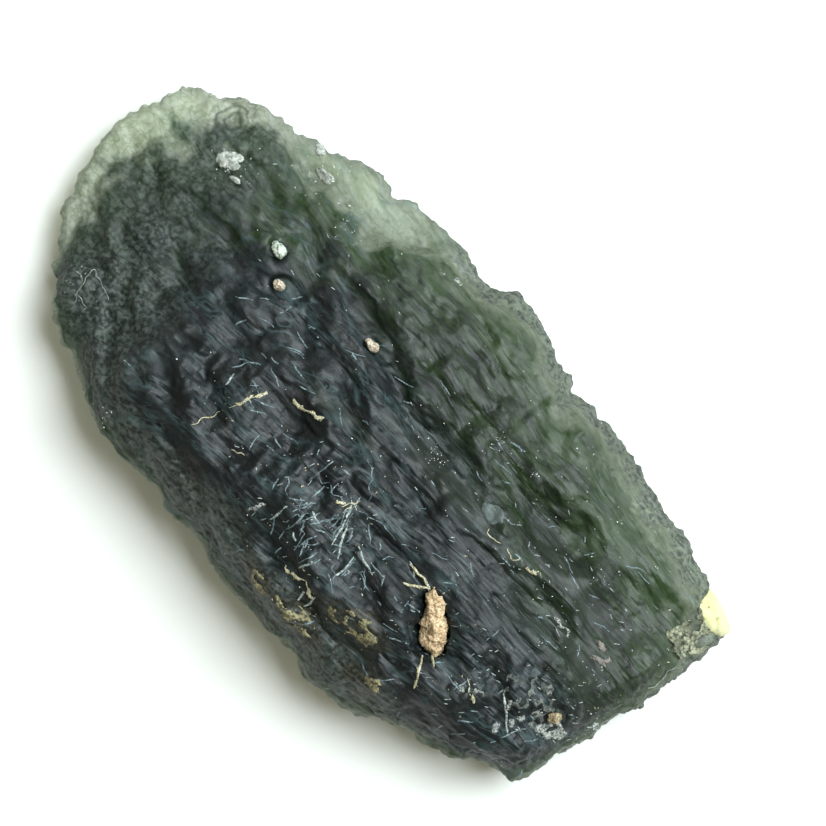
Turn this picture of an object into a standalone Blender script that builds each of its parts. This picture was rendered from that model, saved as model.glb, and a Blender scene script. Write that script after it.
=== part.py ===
"""Moldavite: a wedge of natural green glass with clay and sand still lodged in its grooves.

The glass is one solid. It starts as a box of many cells. Four edge curves bound its plan, and
the cells between them are spread by a Coons patch. The top then climbs from thin shelves at the
rounded end and the thin side to a crest near the thick side, and the underside is a shallow bowl
whose low spots are worn flat. Grooves follow the flow of the glass, and each crumb or grain sits
in a seat cut for it.

The stone lies along X. Its thick side faces -Y, its thin side +Y and its broken end +X. The
origin is at the middle of its box, on the surface that it rests on.
"""

import math

import bmesh
import bpy
from mathutils import Matrix, Vector, noise
from mathutils.bvhtree import BVHTree

MM = 0.001

# Driving dimensions, in millimetres.
LENGTH = 42.0
CREST_Y = -5.6  # the crest runs along X at this distance from the middle
CREST_HEIGHT = ((-21, 3.2), (-16, 5.0), (-9, 7.2), (-1, 8.4), (8, 8.6), (14, 8.0), (21, 6.6))
SEAT_GAP = 0.2  # clear space between a lodged piece and the glass
SEAT_MOUTH = 3.0  # a seat is stretched upwards by this, so that it opens to the air

# The box that the glass is shaped from: cells along X, along Y and up the rim.
CELLS_ALONG = 60
CELLS_ACROSS = 30
CELLS_UP = 4

LONG_AXIS_SHARE = 0.75  # inward is towards the point at this share of X on the long axis
ON_RIM = 1e-6

# The plan, as four edge curves. Notches, spikes and dips of the real edge are points of their own.
THICK_SIDE = (
    (-16.2, -7.9), (-15.0, -8.8), (-13.7, -9.5), (-13.0, -9.1), (-11.8, -9.7), (-9.2, -10.7),
    (-7.5, -10.6), (-5.5, -10.4), (-3.3, -10.7), (-1.2, -10.3), (0.3, -10.6), (5.1, -10.8),
    (6.1, -10.3), (7.7, -10.6), (8.9, -10.5), (10.8, -10.0), (11.9, -9.3), (14.1, -8.3),
    (16.5, -7.3), (17.7, -6.5), (19.1, -6.0),
)
THIN_SIDE = (
    (-18.4, 5.2), (-17.8, 6.2), (-16.9, 6.3), (-14.8, 7.3), (-13.4, 8.1), (-12.2, 8.2),
    (-9.7, 9.2), (-8.8, 9.1), (-8.3, 8.8), (-8.0, 9.4), (-5.4, 9.7), (-3.7, 10.3), (-2.4, 9.9),
    (-0.9, 10.0), (-0.6, 10.5), (1.3, 10.9), (3.2, 10.6), (4.4, 10.2), (5.1, 10.6), (5.4, 9.9),
    (6.7, 10.3), (9.8, 10.4), (11.9, 9.9), (13.7, 9.4), (18.3, 9.2), (18.6, 8.6), (20.4, 8.4),
)
ROUNDED_END = (
    (-16.2, -7.9), (-17.5, -6.6), (-18.9, -5.0), (-19.6, -4.2), (-19.4, -3.5), (-20.1, -3.1),
    (-20.6, -1.5), (-21.0, 1.0), (-20.9, 2.2), (-20.2, 3.2), (-20.3, 3.7), (-19.6, 4.6),
    (-18.4, 5.2),
)
BROKEN_END = (
    (19.1, -6.0), (19.5, -5.2), (19.9, -2.8), (20.2, -0.6), (20.8, 3.0), (20.8, 4.7),
    (21.0, 5.6), (20.8, 6.3), (21.0, 7.1), (20.4, 8.4),
)

# Thickness of the rim, keyed by place along X on the sides and along Y on the ends.
THICK_RIM = ((-16.2, 1.4), (-13, 1.8), (-9, 3.0), (0, 3.6), (12, 3.6), (19.1, 3.8))
THIN_RIM = ((-18.4, 1.0), (-8, 0.9), (4, 1.1), (14, 1.1), (20.4, 0.7))
ROUNDED_RIM = ((-7.9, 1.4), (-3, 1.0), (5.2, 1.0))
BROKEN_RIM = ((-6.0, 3.8), (-1, 4.2), (3, 2.8), (6, 1.2), (8.4, 0.7))

# Height of the rim's middle over the surface that the stone rests on.
THICK_RIM_HEIGHT = 2.9
THIN_RIM_HEIGHT = 2.0
BROKEN_RIM_RISE = 0.7  # the broken end's rim is this much higher at the thick side
RIM_ROUNDING = 0.16  # the rim draws in at its top and bottom by this share of its thickness
RIM_ROUNDING_REACH = 1.4  # and the faces beside it follow, over this distance

# Width of the thin shelf inside the edge, before the step up to the body.
THIN_SHELF = (
    (-18.4, 1.3), (-14, 1.4), (-12, 2.9), (-10, 2.5), (-7.8, 2.9), (-5, 1.2), (-2.6, 0.5),
    (6, 0.4), (14, 0.3), (17.5, 0.4), (19, 1.2), (20.4, 1.8),
)
ROUNDED_SHELF = ((-7.9, 0.9), (-4, 1.0), (0, 1.7), (5.2, 1.3))
BROKEN_SHELF = ((-6.0, 0.0), (4.0, 0.1), (6.5, 1.2), (8.4, 2.2))
STEP_WIDTH = 0.45

# Climb from the rim to the crest, as a distance in from each edge.
THICK_CLIMB = 4.8
THIN_CLIMB = 15.0
ROUNDED_CLIMB = 6.5
BROKEN_CLIMB = 1.6
THIN_STEP = 0.17  # share of the climb that the step at the shelf makes at once
ROUNDED_STEP = 0.42

# The underside: how far in it reaches its lowest, and the hollows above its worn flats.
BOWL_RUN = 5.5
HOLLOW_DEPTH = 0.9
HOLLOW_SIZE = Vector((4.5, 3.5))
THINNEST = 0.5  # the glass is nowhere thinner than this

# Sculpture of the top: grooves along the flow, lumps across it, and dents.
GROOVE_LENGTH = 6.0
GROOVE_WIDTH = 2.0
GROOVE_DEPTH = 1.5
LUMP_SIZE = 3.6
LUMP_HEIGHT = 0.50
SWAY = 0.8  # sideways wander of the grooves
SWAY_LENGTH = 5.0
FAN_CENTRE = Vector((-34.0, 8.0))  # the grooves fan out from far beyond the rounded end
FULL_SCULPTURE = 3.5  # glass this thick has the whole sculpture
THIN_SCULPTURE = 0.25  # and the thinnest glass has this share of it
RIM_RAGGED = 0.6
RIM_RIB = Vector((4.0, 4.0, 1.6))  # spacing of the ribs round the rim, long and low

# Dents: place in plan, radius and depth.
DENTS = (
    (-17.2, 5.1, 1.4, 0.35),
    (-15.9, 3.0, 1.2, 0.50),
    (-12.0, -6.6, 1.5, 0.60),
    (-5.6, -7.6, 1.3, 0.45),
    (1.0, -4.2, 1.5, 0.50),
    (5.4, -8.6, 1.6, 0.75),
    (8.6, -7.4, 1.5, 0.60),
    (3.0, 4.5, 1.7, 0.45),
    (11.5, 4.8, 2.0, 0.45),
    (15.2, 1.2, 1.9, 0.55),
    (17.2, -3.4, 1.3, 0.55),
)

# Lodged pieces: name, place in plan, length, width, height, turn in degrees, taper, waist,
# and fineness. Each sinks into the glass by SUNK of its height.
SUNK = 0.5
LODGED = (
    ("clay_crumb", 10.0, -3.6, 3.4, 1.5, 1.3, -42, 0.30, 0.30, 3),
    ("quartz_chip", -10.1, 2.6, 1.1, 0.7, 0.6, -25, 0.2, 0.0, 2),
    ("ochre_grain", -8.6, 1.4, 0.7, 0.6, 0.55, 20, 0.1, 0.0, 2),
    ("ring_grain", -3.0, 3.1, 0.95, 0.55, 0.5, 15, 0.1, 0.0, 2),
    ("rust_pebble", 18.0, -2.1, 0.8, 0.65, 0.6, 60, 0.2, 0.0, 2),
)


def clear_scene():
    for thing in list(bpy.data.objects):
        bpy.data.objects.remove(thing, do_unlink=True)


def material(name, colour, roughness, transmission=0.0):
    finish = bpy.data.materials.new(name)
    finish.use_nodes = True
    shader = finish.node_tree.nodes["Principled BSDF"]
    shader.inputs["Base Color"].default_value = (*colour, 1.0)
    shader.inputs["Metallic"].default_value = 0.0
    shader.inputs["Roughness"].default_value = roughness
    shader.inputs["Transmission Weight"].default_value = transmission
    return finish


def smooth(value):
    """Ease from 0 to 1, flat at both ends."""
    value = min(max(value, 0.0), 1.0)
    return value * value * (3.0 - 2.0 * value)


def dome(value):
    """Rise from 0 to 1 as a quarter of an ellipse, steep at first."""
    value = min(max(value, 0.0), 1.0)
    return math.sqrt(1.0 - (1.0 - value) ** 2)


def keyed(table, place):
    """Read a table of (place, value) with straight lines between its rows."""
    if place <= table[0][0]:
        return table[0][1]
    for (low, first), (high, second) in zip(table, table[1:]):
        if place <= high:
            return first + (second - first) * (place - low) / (high - low)
    return table[-1][1]


def measured(curve):
    """Pair each point of an edge curve with its share of the curve's length."""
    points = [Vector(point) for point in curve]
    reach = [0.0]
    for start, end in zip(points, points[1:]):
        reach.append(reach[-1] + (end - start).length)
    return [(run / reach[-1], point) for run, point in zip(reach, points)]


EDGES = {
    "thick": measured(THICK_SIDE),
    "thin": measured(THIN_SIDE),
    "rounded": measured(ROUNDED_END),
    "broken": measured(BROKEN_END),
}


def on_edge(name, share):
    return keyed(EDGES[name], share)


def in_plan(s, t):
    """The Coons patch: s runs 0 to 1 along X and t from the thick side to the thin side."""
    sides = on_edge("thick", s) * (1 - t) + on_edge("thin", s) * t
    ends = on_edge("rounded", t) * (1 - s) + on_edge("broken", t) * s
    corners = (
        on_edge("thick", 0) * (1 - s) * (1 - t)
        + on_edge("thick", 1) * s * (1 - t)
        + on_edge("thin", 0) * (1 - s) * t
        + on_edge("thin", 1) * s * t
    )
    return sides + ends - corners


def stepped_climb(inset, shelf, step, run):
    """A flat shelf, a quick step, and then a long steady climb."""
    inside = inset - shelf
    if inside <= 0.0:
        return 0.0
    return step * smooth(inside / STEP_WIDTH) + (1.0 - step) * min(inside / run, 1.0) ** 0.85


def rim_at(t, place, insets):
    """Thickness and height of the rim, blended by how near each edge is."""
    edges = (
        (keyed(THICK_RIM, place.x), THICK_RIM_HEIGHT),
        (keyed(THIN_RIM, place.x), THIN_RIM_HEIGHT),
        (keyed(ROUNDED_RIM, place.y), THIN_RIM_HEIGHT),
        (keyed(BROKEN_RIM, place.y), THIN_RIM_HEIGHT + BROKEN_RIM_RISE * (1 - t)),
    )
    weights = [1.0 / (inset + 0.3) ** 2 for inset in insets]
    total = sum(weights)
    thickness = sum(edge[0] * weight for edge, weight in zip(edges, weights)) / total
    height = sum(edge[1] * weight for edge, weight in zip(edges, weights)) / total
    return thickness, height


def flow(place):
    """Distance along and across the flow lines, which fan out from one far point."""
    arm = place - FAN_CENTRE
    return arm.length, math.atan2(arm.y, arm.x) * -FAN_CENTRE.x


def sculpture(place):
    """Height of grooves, lumps and dents over the smooth form of the top."""
    along, across = flow(place)
    sway = SWAY * noise.noise(Vector((*(place / SWAY_LENGTH), 3.0)))
    ridge = noise.noise(Vector((along / GROOVE_LENGTH, (across + sway) / GROOVE_WIDTH, 9.0)))
    lump = noise.fractal(Vector((*(place / LUMP_SIZE), 5.0)), 1.0, 2.0, 3)
    dents = sum(
        depth * smooth(1.0 - (place - Vector((x, y))).length / radius)
        for x, y, radius, depth in DENTS
    )
    return -GROOVE_DEPTH * abs(ridge) + LUMP_HEIGHT * lump - dents


def heights(s, t):
    """Place in plan, distance in from the edge, and heights of the underside and the top."""
    place = in_plan(s, t)
    insets = [
        (place - in_plan(s, 0)).length,
        (place - in_plan(s, 1)).length,
        (place - in_plan(0, t)).length,
        (place - in_plan(1, t)).length,
    ]
    rim, rim_height = rim_at(t, place, insets)
    climb = (
        dome((insets[0] + 0.1) / THICK_CLIMB)
        * stepped_climb(insets[1], keyed(THIN_SHELF, place.x), THIN_STEP, THIN_CLIMB)
        * stepped_climb(insets[2], keyed(ROUNDED_SHELF, place.y), ROUNDED_STEP, ROUNDED_CLIMB)
        * max(dome((insets[3] - keyed(BROKEN_SHELF, place.y)) / BROKEN_CLIMB), 0.0)
    )
    rim_top = rim_height + rim / 2
    crest = keyed(CREST_HEIGHT, place.x)
    top = rim_top + (crest - rim_top) * climb

    bowl = 1.0
    for inset in insets:
        bowl *= dome((inset + 0.05) / BOWL_RUN)
    spot = Vector((place.x / HOLLOW_SIZE.x, place.y / HOLLOW_SIZE.y, 1.7))
    hollow = HOLLOW_DEPTH * noise.fractal(spot, 1.0, 2.0, 3)
    under = (rim_height - rim / 2) * (1.0 - bowl) + hollow * smooth(min(insets) / 2.0)
    under = max(under, 0.0)

    room = smooth((top - under) / FULL_SCULPTURE)
    top += sculpture(place) * (THIN_SCULPTURE + (1.0 - THIN_SCULPTURE) * room)
    return place, min(insets), under, max(top, under + THINNEST)


def shape_vertex(vertex):
    """Carry one vertex of the unit box to its place on the stone."""
    s = vertex.co.x + 0.5
    t = vertex.co.y + 0.5
    lift = vertex.co.z + 0.5
    place, inset, under, top = heights(s, t)
    height = under + (top - under) * lift
    pull = (2.0 * lift - 1.0) ** 2 * RIM_ROUNDING * (top - under)
    inward = (Vector((place.x * LONG_AXIS_SHARE, 0.0)) - place).normalized()
    place = place + inward * pull * math.exp(-inset / RIM_ROUNDING_REACH)
    if inset < ON_RIM:
        rib = noise.noise(Vector((place.x / RIM_RIB.x, place.y / RIM_RIB.y, height / RIM_RIB.z)))
        chip = noise.noise(Vector((place.x, place.y, 20.0)))
        place = place - inward * RIM_RAGGED * (rib + 0.5 * chip)
    vertex.co = Vector((place.x, place.y, height))


def build_glass(collection):
    """Shape the stone from one box of cells, then scale it to its length and centre it."""
    mesh = bpy.data.meshes.new("moldavite_glass")
    shape = bmesh.new()
    bmesh.ops.create_cube(shape, size=1.0)
    for axis, cells in ((0, CELLS_ALONG), (1, CELLS_ACROSS), (2, CELLS_UP)):
        across = [
            edge for edge in shape.edges
            if abs(edge.verts[0].co[axis] - edge.verts[1].co[axis]) > 0.5
        ]
        bmesh.ops.subdivide_edges(shape, edges=across, cuts=cells - 1, use_grid_fill=True)
    for vertex in shape.verts:
        shape_vertex(vertex)
    bmesh.ops.triangulate(shape, faces=shape.faces, quad_method="SHORT_EDGE")

    low = Vector([min(vertex.co[axis] for vertex in shape.verts) for axis in range(3)])
    high = Vector([max(vertex.co[axis] for vertex in shape.verts) for axis in range(3)])
    middle = Vector(((low.x + high.x) / 2, (low.y + high.y) / 2, low.z))
    scale = LENGTH / (high.x - low.x)
    bmesh.ops.translate(shape, verts=shape.verts, vec=-middle)
    bmesh.ops.scale(shape, verts=shape.verts, vec=(scale * MM,) * 3)
    bmesh.ops.recalc_face_normals(shape, faces=shape.faces)
    shape.to_mesh(mesh)
    shape.free()
    mesh.shade_smooth()
    mesh.set_sharp_from_angle(angle=math.radians(35))
    glass = bpy.data.objects.new("moldavite_glass", mesh)
    collection.objects.link(glass)
    return glass


def pebble_mesh(name, size, taper, waist, fineness, grow=0.0, mouth=1.0):
    """A lumpy pebble along X, fatter at its +X end and pinched at a waist.

    grow swells it all round, and mouth stretches its upper half.
    """
    length, width, height = size
    mesh = bpy.data.meshes.new(name)
    shape = bmesh.new()
    bmesh.ops.create_icosphere(shape, subdivisions=fineness, radius=1.0)
    for vertex in shape.verts:
        unit = vertex.co.copy()
        pinch = (1.0 + taper * unit.x) * (1.0 - waist * math.exp(-((unit.x + 0.2) / 0.3) ** 2))
        lump = 1.0 + 0.35 * noise.noise(unit * 1.7 + Vector((length * 7, width * 5, 2.0)))
        vertex.co = Vector((
            unit.x * (length / 2 * lump + grow),
            unit.y * (width / 2 * lump * pinch + grow),
            unit.z * (height / 2 * lump * pinch + grow) * (mouth if unit.z > 0 else 1.0),
        )) * MM
    shape.to_mesh(mesh)
    shape.free()
    mesh.shade_smooth()
    return mesh


def lodge(glass, surface, collection, cutters, row, finish):
    """Seat one crumb or grain in the glass, and cut its seat."""
    name, x, y, length, width, height, turn, taper, waist, fineness = row
    size = (length, width, height)
    hit, normal, _, _ = surface.ray_cast(Vector((x, y, 20.0)) * MM, Vector((0, 0, -1)))
    tilt = Vector((0, 0, 1)).rotation_difference(normal).to_matrix().to_4x4()
    rise = (0.5 - SUNK) * height * MM
    place = (
        Matrix.Translation(hit)
        @ tilt
        @ Matrix.Translation((0, 0, rise))
        @ Matrix.Rotation(math.radians(turn), 4, "Z")
    )
    piece = bpy.data.objects.new(name, pebble_mesh(name, size, taper, waist, fineness))
    piece.matrix_world = place
    piece.data.materials.append(finish)
    collection.objects.link(piece)

    seat_mesh = pebble_mesh(name + "_seat", size, taper, waist, fineness, SEAT_GAP, SEAT_MOUTH)
    seat = bpy.data.objects.new(name + "_seat", seat_mesh)
    seat.matrix_world = place
    seat.hide_render = True
    seat.display_type = "WIRE"
    cutters.objects.link(seat)
    cut = glass.modifiers.new(name + "_seat", "BOOLEAN")
    cut.operation = "DIFFERENCE"
    cut.object = seat


def main():
    clear_scene()
    collection = bpy.data.collections.new("moldavite")
    cutters = bpy.data.collections.new("moldavite_seats")
    bpy.context.scene.collection.children.link(collection)
    bpy.context.scene.collection.children.link(cutters)

    glass = build_glass(collection)
    glass.data.materials.append(material("etched_green_glass", (0.055, 0.085, 0.060), 0.35, 0.6))
    surface = BVHTree.FromObject(glass, bpy.context.evaluated_depsgraph_get())
    finishes = {
        "clay_crumb": material("dried_clay", (0.42, 0.30, 0.19), 0.95),
        "quartz_chip": material("milky_quartz", (0.52, 0.56, 0.48), 0.30),
        "ochre_grain": material("ochre_sand", (0.45, 0.33, 0.20), 0.85),
        "ring_grain": material("pale_ochre_sand", (0.50, 0.38, 0.22), 0.85),
        "rust_pebble": material("rusty_sand", (0.36, 0.26, 0.17), 0.85),
    }
    for row in LODGED:
        lodge(glass, surface, collection, cutters, row, finishes[row[0]])


main()
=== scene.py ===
# %% [markdown]
# # A raw moldavite
#
# Moldavite is a natural green glass. It was splashed from melted ground by a meteorite, flew
# through the air, and then lay in clay and gravel for millions of years, where groundwater
# etched deep grooves into its skin. This lesson dresses one such stone: the etched, see-through
# glass first, then the clay and sand in its grooves, then the light.
#
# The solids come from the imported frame. The stone lies along X, its thick side faces -Y and its
# thin, clear side +Y.

# %% Load the frame
import itertools
import math

import bmesh
import bpy
import numpy as np
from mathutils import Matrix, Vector
from mathutils.bvhtree import BVHTree


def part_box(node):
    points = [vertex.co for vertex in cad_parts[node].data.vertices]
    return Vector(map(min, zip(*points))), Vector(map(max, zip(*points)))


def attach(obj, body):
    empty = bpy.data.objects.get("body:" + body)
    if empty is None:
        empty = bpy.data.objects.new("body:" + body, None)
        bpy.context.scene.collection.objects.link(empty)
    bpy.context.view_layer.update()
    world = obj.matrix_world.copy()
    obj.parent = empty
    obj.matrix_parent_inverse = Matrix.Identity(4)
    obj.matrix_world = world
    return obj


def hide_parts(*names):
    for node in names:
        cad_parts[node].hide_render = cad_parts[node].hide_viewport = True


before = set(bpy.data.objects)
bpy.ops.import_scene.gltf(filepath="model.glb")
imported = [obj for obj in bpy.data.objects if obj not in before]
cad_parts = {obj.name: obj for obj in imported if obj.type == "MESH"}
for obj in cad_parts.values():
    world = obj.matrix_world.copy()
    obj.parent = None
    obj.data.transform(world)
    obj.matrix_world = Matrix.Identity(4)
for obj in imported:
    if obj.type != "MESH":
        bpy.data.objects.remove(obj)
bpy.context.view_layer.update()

MM = 0.001
BODY = "root"
RAY_START = 0.1  # metres; well above the stone, where rays are dropped from
DOWN = Vector((0, 0, -1))
print("frame nodes:", sorted(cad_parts))

# %% [markdown]
# ## Noise for stone
#
# Nature's roughness is never regular, yet it is never white noise either: it has a size. Gradient
# noise gives bumps of one chosen size, and several layers of it, each half as large as the last,
# give the look of broken or etched stone. Blender has noise textures for this, but they move
# points one way only. Numpy moves a few hundred thousand points at once and lets one layer
# steer the next, so the helpers below are written with it.

# %% Gradient noise and cells
UNIT_ARROWS = np.random.default_rng(11).normal(size=(256, 3))
UNIT_ARROWS /= np.linalg.norm(UNIT_ARROWS, axis=1)[:, None]
CELL_POINTS = np.random.default_rng(12).random((256, 3))


def lattice_number(cell, seed):
    """A repeatable number from 0 to 255 for each whole-number cell."""
    mixed = cell[:, 0] * 73856093 ^ cell[:, 1] * 19349663 ^ cell[:, 2] * 83492791 ^ seed * 40503
    mixed = (mixed ^ (mixed >> 15)) * 2246822519 & 0xFFFFFFFF
    return (mixed ^ (mixed >> 13)) & 255


def gradient_noise(points, seed=0):
    """Smooth noise, about -0.6 to 0.6, with bumps one unit apart."""
    cell = np.floor(points).astype(np.int64)
    part = points - cell
    fade = part ** 3 * (part * (part * 6 - 15) + 10)
    total = np.zeros(len(points))
    for corner in itertools.product((0, 1), repeat=3):
        arrow = UNIT_ARROWS[lattice_number(cell + corner, seed)]
        weight = np.prod(np.where(corner, fade, 1 - fade), axis=1)
        total += weight * np.einsum("ij,ij->i", arrow, part - corner)
    return total


def layered_noise(points, layers, seed=0):
    """Gradient noise summed over layers, each half as large and half as strong."""
    return sum(gradient_noise(points * 2 ** n, seed + n) / 2 ** n for n in range(layers))


def cells(points, seed=0):
    """For each point: how far its nearest scattered seed is, and the height of that seed's facet.

    Every seed owns a flat facet with its own tilt, so together they look like chipped flakes.
    """
    home = np.floor(points).astype(np.int64)
    near = np.full(len(points), 9.0)
    facet = np.zeros(len(points))
    for step in itertools.product((-1, 0, 1), repeat=3):
        cell = home + step
        number = lattice_number(cell, seed)
        away = points - cell - CELL_POINTS[number]
        reach = np.linalg.norm(away, axis=1)
        closer = reach < near
        near = np.where(closer, reach, near)
        facet = np.where(closer, np.einsum("ij,ij->i", away, UNIT_ARROWS[number]), facet)
    return near, facet


def ease(value, low, high):
    """0 below low, 1 above high, and a smooth slope between."""
    share = np.clip((value - low) / (high - low), 0, 1)
    return share * share * (3 - 2 * share)


print("noise sample:", np.round(gradient_noise(np.array([[0.3, 0.6, 0.9]])), 4))

# %% [markdown]
# ## The glass: from solid to skin
#
# The solid has the stone's form but only coarse facets. A voxel remesh wraps it in an even net
# of small squares, which can then be pushed in and out along the surface without stretching.
# A subdivision would keep the uneven facets, so the remesh is the better start.

# %% Wrap the solid in a fine net
FIRST_NET = 0.13 * MM
FINAL_NET = 0.115 * MM
FACE_BUDGET = 194_000


def apply_modifiers(thing):
    """Swap the object's mesh for what its modifiers make of it."""
    depsgraph = bpy.context.evaluated_depsgraph_get()
    made = bpy.data.meshes.new_from_object(thing.evaluated_get(depsgraph))
    old = thing.data
    thing.modifiers.clear()
    thing.data = made
    bpy.data.meshes.remove(old)


def remeshed(thing, voxel):
    """Replace the object's mesh by an even net of squares of this size."""
    net = thing.modifiers.new("net", "REMESH")
    net.mode = "VOXEL"
    net.voxel_size = voxel
    apply_modifiers(thing)


def points_of(mesh):
    """All vertices, in millimetres."""
    flat = np.empty(len(mesh.vertices) * 3)
    mesh.vertices.foreach_get("co", flat)
    return flat.reshape(-1, 3) / MM


def normals_of(mesh):
    """The way the skin faces at each vertex."""
    flat = np.empty(len(mesh.vertices) * 3)
    mesh.vertex_normals.foreach_get("vector", flat)
    return flat.reshape(-1, 3)


def set_points(mesh, points):
    """Move all vertices to these places, in millimetres."""
    mesh.vertices.foreach_set("co", (points * MM).ravel())
    mesh.update()


glass = bpy.data.objects.new("etched_glass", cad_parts["moldavite_glass"].data.copy())
bpy.context.scene.collection.objects.link(glass)
remeshed(glass, FIRST_NET)
soften = glass.modifiers.new("soften", "SMOOTH")
soften.factor, soften.iterations = 0.5, 6
apply_modifiers(glass)
print("first net:", len(glass.data.vertices), "points")

# %% [markdown]
# ## The flow and the zones of the skin
#
# Molten glass is never quite even, and acids in the ground eat its weaker streaks first, so the
# grooves follow the flow that froze in it. Here the flow runs along the stone and draws together
# towards the broken end. Each zone has its own sculpture: plates and long striations in the
# middle, fine pits at the rounded end, chaotic patches, straight ribs along the thick side, and
# almost smooth windows.

# %% Flow coordinates
FLOW_SLOPE = 0.08  # how far the flow leans towards the thin side
FLOW_GATHER = 0.016  # how fast it draws together, for each millimetre along X
FLOW_SWAY = 0.9


def flow_of(points):
    """Distance along the flow, across it, and height, in millimetres."""
    x, y, z = points.T
    along = x + FLOW_SLOPE * y
    across = y * (1 + FLOW_GATHER * x) - FLOW_SLOPE * x
    sway = FLOW_SWAY * layered_noise(points / (7.0, 4.0, 4.0), 3, seed=31)
    return np.column_stack((along, across + sway, z))


def patch(points, x, y, length, width, turn=0.0):
    """1 inside an oval of the plan, fading to 0 at its ragged edge."""
    lean = math.radians(turn)
    right, up = points[:, 0] - x, points[:, 1] - y
    u = (right * math.cos(lean) + up * math.sin(lean)) / (length / 2)
    v = (up * math.cos(lean) - right * math.sin(lean)) / (width / 2)
    ragged = 0.5 * layered_noise(points / 1.2, 3, seed=37)
    return ease(-(np.hypot(u, v) + ragged), -1.15, -0.7)


print("flow at the middle:", np.round(flow_of(np.zeros((1, 3)))[0], 2))

# %% Where each zone lies
WINDOWS = (  # x, y, length, width and turn of each oval, in millimetres and degrees
    (4.6, 1.5, 10.0, 1.5, 3), (13.2, 3.4, 9.0, 2.0, -4), (16.6, 1.0, 4.0, 1.3, 0),
    (-1.0, -0.4, 6.0, 1.0, 4), (8.3, -7.4, 3.0, 1.0, 10), (-5.6, 4.2, 4.0, 1.0, 0),
    (-13.0, 1.0, 3.0, 0.9, 10),
)
CHAOS = ((1.4, -4.6, 9.5, 5.6, 0), (16.2, -3.2, 7.4, 5.8, 20), (-6.0, -4.0, 6.0, 4.0, 0))
STAINS = ((5.2, -9.0, 3.4, 1.3, 4), (7.6, -6.9, 3.6, 1.5, 8), (2.6, -9.3, 2.0, 0.8, 0),
          (10.4, -8.3, 2.6, 0.9, 20))


def zones_of(points):
    """How strongly each zone's sculpture shows at each point."""
    x, y = points[:, 0], points[:, 1]
    wander = 2.4 * layered_noise(points / 4.0, 3, seed=41)
    pitted = ease(-(x + 0.25 * y + wander), 10.0, 14.5)
    side = ease(-(y + 0.4 * wander - 0.02 * x), 7.6, 9.0)
    chaos = 0.9 * np.maximum.reduce([patch(points, *row) for row in CHAOS])
    window = np.maximum.reduce([patch(points, *row) for row in WINDOWS])
    clear = ease(y + 0.20 * x + 0.5 * wander, 1.6, 5.0) * ease(x, -9.0, -1.0)
    stained = np.maximum.reduce([patch(points, x, y, length * 1.3, width * 1.5, turn)
                                 for x, y, length, width, turn in STAINS])
    return {"pitted": pitted, "side": side, "chaos": chaos, "window": window, "clear": clear,
            "stained": stained * (1 - window)}


points = points_of(glass.data)
flow = flow_of(points)
zones = zones_of(points)
print({name: round(float(share.mean()), 3) for name, share in zones.items()})

# %% [markdown]
# Etched glass shows a few forms again and again: sharp crests with round valleys between them,
# narrow clefts between broad plates, and flat chipped facets. Each is one line of numpy on the
# noise above. A displace modifier could do one of them, but not blend several by zone. The three
# numbers that divide a place are the form's size in millimetres: along the flow, across it and in
# height. A number in front is its depth.

# %% Forms of etched glass
def crests(places, seed):
    """Sharp crests and round valleys: 1 on a crest, 0 deep in a valley."""
    return (1.0 - 2.2 * np.abs(gradient_noise(places, seed))).clip(0, 1)


def clefts(places, seed, narrow):
    """Narrow clefts between broad plates: 1 on a plate, 0 at the bottom of a cleft."""
    return 1.0 - np.exp(-(gradient_noise(places, seed) / narrow) ** 2)


def blended(zones, plain, **others):
    """The plain form, replaced by each zone's own form where that zone shows."""
    form = plain
    for name, other in others.items():
        form = form * (1 - zones[name]) + other * zones[name]
    return form


CHIP_X, CHIP_Y = -17.0, 5.0  # middle of the one shell-shaped chip
RING_SPACING = 0.5
RING_DEPTH = 0.10


def conchoidal(points):
    """Rings of one small shell-shaped chip at the rounded end: 1 in a groove."""
    wobble = 0.55 * layered_noise(points / 1.1, 3, 51)
    reach = np.hypot((points[:, 0] - CHIP_X) * 1.25, points[:, 1] - CHIP_Y) + wobble
    ring = 0.5 + 0.5 * np.cos(reach * 2 * math.pi / RING_SPACING)
    return ring * ease(-reach, -1.9, -1.2)


def turned_flow(flow):
    """The flow turned across itself: the lie of the splinters in the chaotic patch."""
    along, across, height = flow.T
    return np.column_stack((along * 0.1 - across, along + across * 0.1, height))


print("crests, mean height:", round(float(crests(points / 0.5, 65).mean()), 3))

# %% Carve the large sculpture, in millimetres
leaning = turned_flow(flow)
warp = 0.35 * layered_noise(points / 1.5, 2, seed=45)[:, None]
_, plates = cells((flow + warp) / (2.2, 0.62, 1.0), 47)
_, chips = cells((flow + warp) / (1.3, 0.45, 0.7), 48)
_, splinters = cells((leaning + 1.5 * warp) / (1.3, 0.5, 0.8), 49)
pit_near, crumbs = cells(points / 0.55, 71)
plate_form = (
    0.12 * plates + 0.08 * chips
    + 0.07 * clefts(flow / (3.6, 0.60, 1.6), 53, 0.12)
    + 0.05 * crests(flow / (3.6, 0.50, 1.0), 57)
    + 0.03 * crests(flow / (2.2, 0.34, 0.8), 59)
)
chaos_form = (
    0.15 * splinters + 0.06 * crumbs
    + 0.06 * clefts(leaning / (2.4, 0.6, 1.5), 61, 0.12)
    + 0.08 * crests(leaning / (1.8, 0.38, 0.8), 63)
    + 0.05 * crests(points / 0.50, 65)
)
pit_form = (
    0.08 * pit_near + 0.12 * crumbs + 0.08 * chips
    + 0.08 * crests(points / 0.42, 75)
    + 0.05 * crests(points / 2.6, 77)
)
side_form = (
    0.10 * chips + 0.06 * crumbs
    + 0.12 * crests(points / (5.0, 1.0, 0.7), 81)
    + 0.09 * crests(points / (3.0, 0.6, 0.40), 83)
    + 0.06 * crests(points / 0.42, 85)
)
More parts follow.
